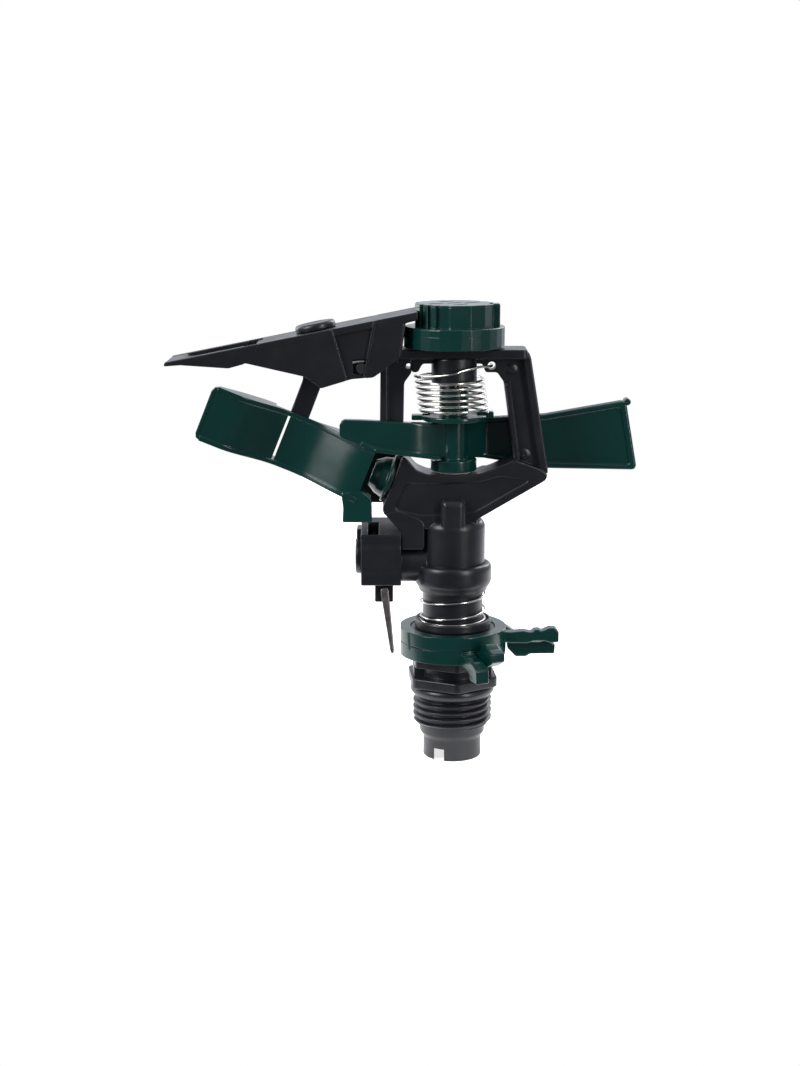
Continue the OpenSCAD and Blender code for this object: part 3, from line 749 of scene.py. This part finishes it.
BRACKET_FRONT = [
    (-18, 66.6), (-14.6, 67.7), (-8.6, 65.2), (-7.6, 63.8), (-7.6, 57.2), (-13.76, 57.2), (-13.76, 62),
    (-14.6, 62.8)
]
BRACKET_REAR = [(-14.8, 66), (-7.6, 62.8), (-7.6, 57), (-13.76, 57), (-13.76, 64.6)]

# A black wall behind the nozzle, which is painted shade for the dark hollow of the scoop there, and the
# strip that joins it to the housing
SHADE_WALL = [
    (-27, 73), (-24.6, 78.2), (-20.4, 81.6), (-13.4, 81), (-13.6, 77), (-18.2, 67.4), (-21.5, 67.4),
    (-24.8, 69.8)
]
SHADE_WALL_FOOT = [(-18, 69.4), (-16.2, 69.4), (-13.2, 78), (-12.9, 80.2), (-13.8, 80.2)]


def make_frame(work):
    spring_hole = circle(SPRING_HOLE_X, SPRING_HOLE_Z, 1.05, 24)
    plate(work, rounded(FRAME_WEB, 0.6), -2.2, 2.2, 0.2, [spring_hole])
    plate(work, rounded(LEFT_POST, 0.6), -3, 3, 0.3, [circle(-11.8, SPRING_HOLE_Z, 0.7, 16)])
    plate(work, rounded(RIGHT_RIM, 0.5), -POST_Y, POST_Y, 0.4)
    plate(work, rounded(LEFT_RIM, 0.4), -POST_Y, POST_Y, 0.4)
    plate(work, rounded(INNER_RIM, 0.4), -3.2, 3.2, 0.3)
    # the top bar, on the fulcrum pin's boss
    bar = rectangle(-17.9, 18.6, -PANEL_Y, PANEL_Y, 1.2)
    plate(work, bar, 106.9, 109.3, 0.35, [circle(0, 0, PIN_HOLE, 24)], level)
    rod(work, 5.9, 100.2, 107.2, ease=0.8, bore=PIN_HOLE)
    # round bumps on the front of the web
    bump = [(0.01, -2.5), (1.1, -2.45), (1.7, -2.1), (1.7, -1.5), (0.01, -1.5)]
    for x, z in ((14.6, 103.9), (18.2, 81.8), (-15.7, 103.8)):
        turned(work, bump, along_y(x, z), 24, 0.3)
    # the lug that the flap is hinged on
    rod(work, 2.6, -5.4, 5.4, along_y(*HINGE), bore=1.3)
    plate(work, rectangle(-5.4, 5.4, 106, 109.6, 0.4), -19, -14.4, 0.3, place=sideways)


def make_body():
    work = bmesh.new()
    make_frame(work)
    # the housing: a core between a front and a rear layer, each with a recess
    core = rounded([(x * 0.995, z) for x, z in HOUSING], 1.0)
    plate(work, core, -5.1, 4.2, 0.3)
    plate(work, core, -PANEL_Y, -4.6, 0.38, [rounded(FRONT_POCKET, 1.2)])
    plate(work, rounded(HOUSING_REAR, 1.0), 3.0, PANEL_Y, 0.4, [rounded(REAR_POCKET, 1.0)])
    # the barrel with its wider sleeve, and the boss on the front
    turned(work, [
        (TUBE_SOCKET, 37.2), (BARREL_R, 37.2), (BARREL_R, SLEEVE_FOOT), (SLEEVE_R, SLEEVE_FOOT),
        (SLEEVE_R, 63.2), (7.6, 64.4), (6.8, 64.6), (TUBE_SOCKET, 64.6)
    ], ease=0.7)
    plate(work, rectangle(-3.5, 3.1, 60, 70.8, 1.9), -8.2, -4, 1.8)
    # painted shade: a black wall behind the nozzle and its foot, standing in for the shadow in the scoop's
    # hollow
    plate(work, rounded(SHADE_WALL, 0.4), 6.8, 8.2, 0.25)
    plate(work, SHADE_WALL_FOOT, 5.3, 6.9, 0.1)
    plate(work, rounded(BRACKET_FRONT, 0.8), -5.58, -3.4, 0.4)
    plate(work, rounded(BRACKET_REAR, 0.2), 2, 4.6, 0.1)
    made("body", work)


def make_sand_skirt():
    work = bmesh.new()
    turned(work, [
        (SKIRT_IN, SLEEVE_FOOT), (8.9, SLEEVE_FOOT), (9.2, 46.4), (10, 47.6), (10.2, 48.6), (10.2, 51.6),
        (9.9, 52.6), (9.1, 53), (SKIRT_IN, 53)
    ], ease=0.6)
    made("sand_skirt", work)


def make_nozzle():
    work = bmesh.new()
    jet = along_jet(NOZZLE_RISE)

    def about_jet(a, b, h):
        return jet(h, a, b)
    turned(work, [
        (2.9, -5.9), (3.38, -5.9), (3.38, 0.5), (6.4, 0.5), (6.4, 1.2), (5.4, 1.5), (4.9, 3.4), (3.4, 5.6),
        (2.2, 5.6), (1.9, 5.2), (1.9, -2)
    ], about_jet, 40, 0.3)
    made("nozzle", work, angle=25)


# ---------- arm ----------

# Distances of the paddle's two faces from the middle plane, then the hub and the disc on it
BEAM_IN = 4.5
BEAM_OUT = 8.1
HUB_BORE = 2.3
HUB_R = 3.8
DISC_R = 8.6
DISC_Z = 90.7
DISC_TOP = 92

# Stations of the beam along X: x, y0, y1, z0, z1
BEAM_LEFT = [
    (-29.5, -7.2, -4.9, 87.4, 90.2), (-29, -7.4, -4.6, 86.9, 91.2), (-28.2, -7.4, -4.5, 86.5, 91.6),
    (-24, -7.4, -4.5, 84.8, 91.5), (-20, -7.4, -4.5, 83.2, 91.3), (-12, -7.2, -4.2, 82.2, 90.8),
    (-8, -6.4, -3, 81.8, 90.5), (-3.6, -3.5, 0, 81.3, 90.3), (-1, -2.4, 1, 81, 90)
]
BEAM_RIGHT = [
    (0.5, -0.5, 4, 81, 90), (3.6, 1.2, BEAM_OUT, 80.5, 90.1), (8, BEAM_IN, BEAM_OUT, 79.8, 90.4),
    (9, 4.8, 7.8, 79.7, 90.4)
]
PADDLE = [
    (24, 91.3), (44.6, 94.9), (45.4, 94.3), (48.4, 77.6), (47.8, 76.6), (24.6, 77), (6, 80.1), (6, 90.3)
]
PADDLE_FIELD = [(24.2, 89.8), (43.8, 93.1), (46.5, 78.0), (24.8, 78.7), (8, 81.2), (8, 89)]
SHELF = [(-23.8, 86.1), (-20, 84.4), (-4.4, 82.3), (-3, 81.8), (-4.4, 81.3), (-20, 83.2), (-24.2, 84.8)]
ANVIL = [
    (-29.2, 72.6), (-28.7, 68.6), (-28.9, 64.9), (-21.2, 64.9), (-21.3, 69.4), (-21.5, 71.5), (-24, 73.2)
]

# The scoop along the jet: its start, the bends of its open edge and its end; how near and far that edge is
SCOOP_START = 7
SCOOP_BENDS = (8, 26, 29, 45)
SCOOP_END = 50.2
NEAR_EDGE = 8.2
FAR_EDGE = 0.9
SCOOP_LOW = -8
SCOOP_HIGH = 6.8
SCOOP_PLATE = 1.3
SLIT = (30.6, 31.2)
SCOOP_RIM = [
    (48, -7.95), (50, -7.95), (51.1, -7.5), (51.6, -6.4), (51.6, 5.2), (51.1, 6.3), (50, 6.75), (48, 6.75),
    (48, 5.7), (49.9, 5.7), (50.5, 5.1), (50.5, -6.3), (49.9, -6.9), (48, -6.9)
]


def scoop_edge(u):
    """How far the scoop's open edge stands out at this distance along the jet."""
    def swing(t):
        return (1 - math.cos(math.pi * t)) / 2
    first, second, third, fourth = SCOOP_BENDS
    drop = NEAR_EDGE - FAR_EDGE
    if first < u < second:
        return NEAR_EDGE - drop * swing((u - first) / (second - first))
    if second <= u <= third:
        return FAR_EDGE
    if third < u < fourth:
        return FAR_EDGE + drop * swing((u - third) / (fourth - third))
    return NEAR_EDGE


def scoop_line(u0, u1, count, inset=0.0):
    steps = (u0 + (u1 - u0) * k / count for k in range(count + 1))
    return [(u, scoop_edge(u) - inset) for u in steps]


def make_scoop(work):
    """A low and a high plate, a curved wall between them with a slit, and a rounded rim at the far end."""
    jet = along_jet(SCOOP_RISE)

    def face(a, b, h):
        return jet(a, h, b)
    edge = scoop_line(SCOOP_START, SCOOP_END, 48) + [(SCOOP_END, 5.5), (44, 0.5)]
    low = edge + [(36, -5), (15, -5), (9, 0)]
    plate(work, low, SCOOP_LOW, SCOOP_LOW + SCOOP_PLATE, 0.2, place=jet)
    # the high plate leaves room for the flap's leg
    high = edge + [(38, -2.8), (35.1, -3.4), (35.1, -0.1), (23, -0.1), (18, -2.6), (12, -2.6), (9, 0)]
    plate(work, high, SCOOP_HIGH - SCOOP_PLATE, SCOOP_HIGH, 0.2, place=jet)
    for u0, u1 in ((SCOOP_START, SLIT[0]), (SLIT[1], 50.7)):
        wall = scoop_line(u0, u1, 40, 0.25) + scoop_line(u1, u0, 40, 1.45)
        plate(work, wall, -7.4, 6.2, 0.05, place=jet)
    plate(work, SCOOP_RIM, 5.6, 8.13, 0.3, place=face)
    # a bar that joins the two plates at the nozzle's end
    plate(work, [(6.6, -2.2), (10, -2.2), (10, -3.4), (6.6, -3.4)], -7.6, 6.4, 0.2, place=jet)


def make_arm():
    work = bmesh.new()
    loft(work, BEAM_LEFT)
    plate(work, rounded(SHELF, 0.4), -BEAM_OUT, -3.6, 0.3)
    loft(work, BEAM_RIGHT)
    plate(work, rounded(PADDLE, 0.5), 5.1, 7.5, 0.2)
    plate(work, rounded(PADDLE, 0.7), BEAM_IN, BEAM_OUT, 0.55, [rounded(PADDLE_FIELD, 0.9)])
    rod(work, 0.9, BEAM_IN, BEAM_OUT, along_y(45.6, 94.6))
    # the hub with its disc, and the disc's two ears
    turned(work, [
        (HUB_BORE, 77.5), (6, 77.5), (6, 80.5), (HUB_R, 80.6), (HUB_R, DISC_Z), (DISC_R, DISC_Z),
        (DISC_R, DISC_TOP), (HUB_R, DISC_TOP), (HUB_R, 99.4), (HUB_BORE, 99.4)
    ], ease=0.35)
    plate(work, rectangle(-11, -6, -1.8, 1.8), DISC_Z, DISC_TOP, 0.2, place=level)
    plate(work, rectangle(6, 10.4, 0.6, 3.2), DISC_Z, DISC_TOP + 0.6, 0.3, place=level)
    make_scoop(work)
    plate(work, rounded(ANVIL, 0.6), -8, -3.6, 0.4)
    made("arm", work)


SPRING_R = 8.82
SPRING_FOOT = 92.48
SPRING_TOP = 102.2
SPRING_TURNS = 6.625
SPRING_LEAN = -1.4
SPRING_WIRE_R = 0.34
SPRING_HOOK = [
    (-1.5, -7.7, 103.1), (2.5, -6.9, 104.2), (6.5, -5, SPRING_HOLE_Z), (8.8, -3.6, SPRING_HOLE_Z),
    (SPRING_HOLE_X, -2, SPRING_HOLE_Z), (SPRING_HOLE_X, 2.4, SPRING_HOLE_Z)
]


def make_arm_spring():
    """Coiled round the hub, with one leg across the front to the right-hand hole of the top web."""
    work = bmesh.new()
    turns = coil(SPRING_R, SPRING_FOOT, SPRING_TOP, SPRING_TURNS, lean=SPRING_LEAN)
    wire(work, turns[:-3] + smooth_path([turns[-3]] + SPRING_HOOK), SPRING_WIRE_R)
    piece = finished("arm_spring", work, angle=80)
    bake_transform(piece)


# ---------- deflector flap ----------

FLAP_SLOPE = 0.199
FLAP_TILT = -11.25
KNOB_X = -35.6


def flap_top(x):
    return 119.2 + (x + 9.5) * FLAP_SLOPE


def under_top(x, depth):
    return (x, flap_top(x) - depth)


FLAP_TIP = [(-73.8, flap_top(-73.8)), (-73.9, 105.4), (-69.7, 105.7), (-57.6, 104.9)]
FLAP_FOOT = [
    (-54, 106), (-53.2, 106.2), (-38.3, 102.8), (-34.1, 99.8), (-26.4, 102.1), (-20.8, 102.6),
    (-18.6, 104.1), (-13.7, 108.1), (-12.6, 116.3), (-9.5, 117.1), (-9.5, 119.2)
]
FLAP_SHOULDER = [(x + 0.1, z) for x, z in FLAP_TIP + [(-53.6, 106), (-53.6, flap_top(-53.6))]]
FLAP_BASE = [
    (-73.7, flap_top(-73.8) - 0.05), (-73.8, 105.5), (-69.7, 105.8), (-57.6, 105.0), (-53.6, 106.2),
    (-53.6, 107.4), (-54.6, 106.7), (-69, 106.7), (-69.4, flap_top(-69.4) - 0.1)
]
FLAP_ROOF = [
    under_top(-49.6, 0.04), under_top(-9.6, 0.04), (-9.6, 117.3), under_top(-14, 1.7),
    under_top(-50.8, 1.7)
]
BULKHEAD = [(-54, 106.1), (-53.4, 106.1), under_top(-49.6, 0.4), under_top(-50.8, 0.4)]
FLAP_LEG = [
    (-39.2, 104), (-36.8, 110), (-34, 110), (-34.3, 101), (-34.4, 99.4), (-38.2, 89.6), (-42.9, 91.5),
    (-39.2, 101)
]
DETENT_RIB = [(-27, 103), (-27, 114), (-21.4, 115), (-21.4, 103)]

# Distances from the middle: inner wall, outer skin, tip's rim, and the ridges beside the groove
FLAP_LAYERS = ((7.2, 8.0), (7.7, 8.75), (6.4, 8.6), (7.9, 9.0))
GROOVE_RIBS = (
    [(-31.9, 114.5), (-31.1, 114.7), (-27.4, 102.0), (-28.2, 102.1)],
    [(-20.7, 116.9), (-19.9, 117.0), (-22.6, 102.7), (-23.4, 102.6)],
    [(-13.2, 116.0), (-12.6, 116.2), (-13.6, 108.4), (-14.2, 108.0)]
)


def between(points, x0, x1):
    return [p for p in points if x0 < p[0] < x1]


def make_flap():
    work = bmesh.new()
    wall = [under_top(-54, 0.1)] + FLAP_FOOT[:-1] + [under_top(-9.5, 0.1)]
    window = rectangle(-26, -22.2, 103.4, 107.1, 0.4)
    left = FLAP_TIP + between(FLAP_FOOT, -53.9, -30) + [(-27.8, 101.7), (-31.4, flap_top(-31.4))]
    right = [(-20.1, flap_top(-20.1)), (-22.9, 102.4)] + between(FLAP_FOOT, -21, -8)
    for side in (-1, 1):
        inner, outer, rim, ridge = (sorted((side * a, side * b)) for a, b in FLAP_LAYERS)
        plate(work, rounded(wall, 0.3), *inner, 0.1, [window] if side < 0 else [])
        plate(work, rounded(left, 0.4), *outer, 0.3)
        plate(work, rounded(right, 0.4), *outer, 0.3)
        for rib in GROOVE_RIBS:
            plate(work, rib, *ridge, 0.2)
        plate(work, rounded(FLAP_SHOULDER, 0.3), *rim, 0.2)
    plate(work, rounded(FLAP_BASE, 0.3), -8.6, 8.6, 0.1)
    plate(work, rounded(FLAP_ROOF, 0.2), -8.7, 8.7, 0.1)
    plate(work, rounded(BULKHEAD, 0.2), -8.5, 8.5, 0.1)
    plate(work, rounded(FLAP_LEG, 0.5), 0.8, 5.5, 0.4)
    plate(work, DETENT_RIB, -5.4, -4, 0.1)
    made("deflector_flap", work)


def make_knob():
    work = bmesh.new()
    cos, sin = math.cos(math.radians(FLAP_TILT)), math.sin(math.radians(FLAP_TILT))
    top = flap_top(KNOB_X)

    def tilted(a, b, h):
        return Vector((KNOB_X + a * cos + h * sin, b, top - a * sin + h * cos))
    turned(work, [
        (0.01, -1.8), (2, -1.8), (2, 0), (5.25, 0), (5.25, 1.3), (4.7, 1.9), (3.6, 1.75), (0.01, 1.7)
    ], tilted, 64, 0.4)
    made("flap_knob", work)


# ---------- trip mechanism ----------


TRIP_X = (-24.2, -13.7)
TRIP_BLOCK = [(-6.1, 47.6), (-6.1, 49.8), (-6.5, 52), (-6.5, 57.4), (-6.1, 59), (6.5, 59), (6.5, 47.6)]
ROOF_SLOPE = 0.185
AXLE_Z = 54.5
LEVER_LEAN = -10
PIN_X = -18
PIN_HEAD_Z = 45.2 - AXLE_Z
PIN_HEAD_R = 1.1


def along_lever(x, y, z):
    """The lever's own frame: the axle is the origin, and the lower end leans to the open face."""
    cos, sin = math.cos(math.radians(LEVER_LEAN)), math.sin(math.radians(LEVER_LEAN))
    return Vector((x, y * cos - z * sin, AXLE_Z + y * sin + z * cos))


def make_trip_housing():
    work = bmesh.new()
    plate(work, rounded(TRIP_BLOCK, 0.6), *TRIP_X, 0.3, place=sideways)

    def sloped(a, b, h):
        return Vector((a, b, 61.2 + (b + 6.5) * ROOF_SLOPE + h))
    hole = rectangle(-22.4, -19.6, -5.6, 2.4, 0.25)
    plate(work, rectangle(*TRIP_X, -6.2, 6.5, 0.3), -3.4, 0, 0.3, [hole], sloped)
    plate(work, rectangle(0, 6, 58, 61.6, 0.4), -25.4, -22.4, 0.3, place=sideways)
    rod(work, 5, -14.4, -6.6, along_x(0, 52.6), 0.6)
    made("trip_housing", work)


def make_trip_end_cap():
    work = bmesh.new()
    turned(work, [
        (1.4, -24.25), (4.7, -24.25), (4.7, -25.3), (4.3, -25.7), (3.6, -25.7), (3.3, -25.2), (1.4, -25.2)
    ], along_x(0, AXLE_Z), 48, 0.2)
    made("trip_end_cap", work)


def make_trip_lever():
    work = bmesh.new()

    def about_axle(a, b, h):
        return along_lever(h, a, b)
    turned(work, [(1.25, -21.4), (3.2, -21.4), (3.2, -15.6), (1.25, -15.6)], about_axle, 40, 0.2)
    plate(work, rectangle(-20.6, -15.8, -1.6, 1.6, 0.3), -12.2, -1.6, 0.3, place=along_lever)
    plate(work, rectangle(-21.4, -20, -1.2, 1.2, 0.3), 0, 6.2, 0.2, place=along_lever)
    made("trip_lever", work)


def make_trip_pin():
    """A flat blade that hangs from a round head."""
    work = bmesh.new()

    def lever_upright(a, b, h):
        return along_lever(a, h, b)
    z = PIN_HEAD_Z
    turns = [math.pi * k / 12 for k in range(13)]
    head = [(PIN_X + PIN_HEAD_R * math.cos(t), z + PIN_HEAD_R * math.sin(t)) for t in turns]
    blade = head + [
        (-19, z - 1), (-16.6, z - 15.6), (-16.3, z - 16.3), (-15.9, z - 16.4), (-15.5, z - 15.9),
        (-16.9, z - 0.4)
    ]
    plate(work, blade, -3.1, -1.9, 0.3, place=lever_upright)
    made("trip_pin", work)


# ---------- adjuster cap ----------

CAP_FACETS = 30
CAP_RING_R = 13

# The drum's flutes, as angle and radius
CAP_OUTLINE = (
    (-20, 10.4), (-44, 10.4), (-48, 10.2), (-68, 10.4), (-72, 10.2), (-96, 10.4), (-100, 10.1),
    (-112, 10.2), (-115, 9.3), (-118, 9.3), (-120, 10.3), (-127, 10.3), (-129, 9.3), (-133, 9.3),
    (-135, 10.3), (-142, 10.3), (-144, 9.3), (-149, 9.3), (-151, 10.3), (-168, 10.4), (-188, 10.2),
    (-190, 9.5), (-194, 9.5), (-196, 10.3), (-220, 10.4), (-224, 9.5), (-228, 9.5), (-232, 10.3),
    (-256, 10.4), (-260, 9.4), (-264, 9.4), (-268, 10.3), (-292, 10.4), (-312, 10.3), (-316, 9.4),
    (-322, 9.4), (-326, 10.3), (-350, 10.4)
)


# Middles of the plain slots on the top
CAP_SLOTS = ((-4.6, -1.6), (0, 0.4), (4.4, 1.2), (1.4, -5), (-2, 5.4))
CAP_SLOT_TURN = 35


def make_cap():
    work = bmesh.new()
    ring = circle(0, 0, CAP_RING_R, CAP_FACETS)
    plate(work, ring, 109.6, 113, 0.1, [circle(0, 0, 11.4, 60)], level)
    plate(work, ring, 112.8, 115, 0.35, [circle(0, 0, 1.56, 24)], level)
    turned(work, [(1.55, 110.8), (3.1, 110.8), (3.1, 113.2), (1.55, 113.2)])
    drum = [(r * math.cos(math.radians(a)), r * math.sin(math.radians(a))) for a, r in CAP_OUTLINE]
    plate(work, rounded(drum, 0.15, 2), 114.8, 120.2, 0.1, place=level)
    cos, sin = math.cos(math.radians(CAP_SLOT_TURN)), math.sin(math.radians(CAP_SLOT_TURN))
    bar = [(-2.2, -0.6), (2.2, -0.6), (2.2, 0.6), (-2.2, 0.6)]
    slots = [[(x + a * cos - b * sin, y + a * sin + b * cos) for a, b in bar] for x, y in CAP_SLOTS]
    plate(work, rounded(drum, 0.15, 2), 120.0, 120.8, 0.2, slots, level)
    # the key on the drum's side
    plate(work, rectangle(8.6, 11.6, -3, 1, 0.4), 114.8, 120.8, 0.3, place=level)
    made("adjuster_cap", work, angle=9)


make_camera()
make_world()
make_floor()
for lamp in LAMPS:
    area_light(*lamp)

make_inlet()
make_spring_cup()
make_barrel_spring()
make_collars()
make_body()
make_sand_skirt()
make_nozzle()
make_arm()
make_arm_spring()
make_flap()
make_knob()
make_trip_housing()
make_trip_end_cap()
make_trip_lever()
make_trip_pin()
make_cap()

for one_node, keep in frame["nodes"].items():
    keep.data.materials.clear()
    keep.data.materials.append(LOOKS[SLOT[one_node]])
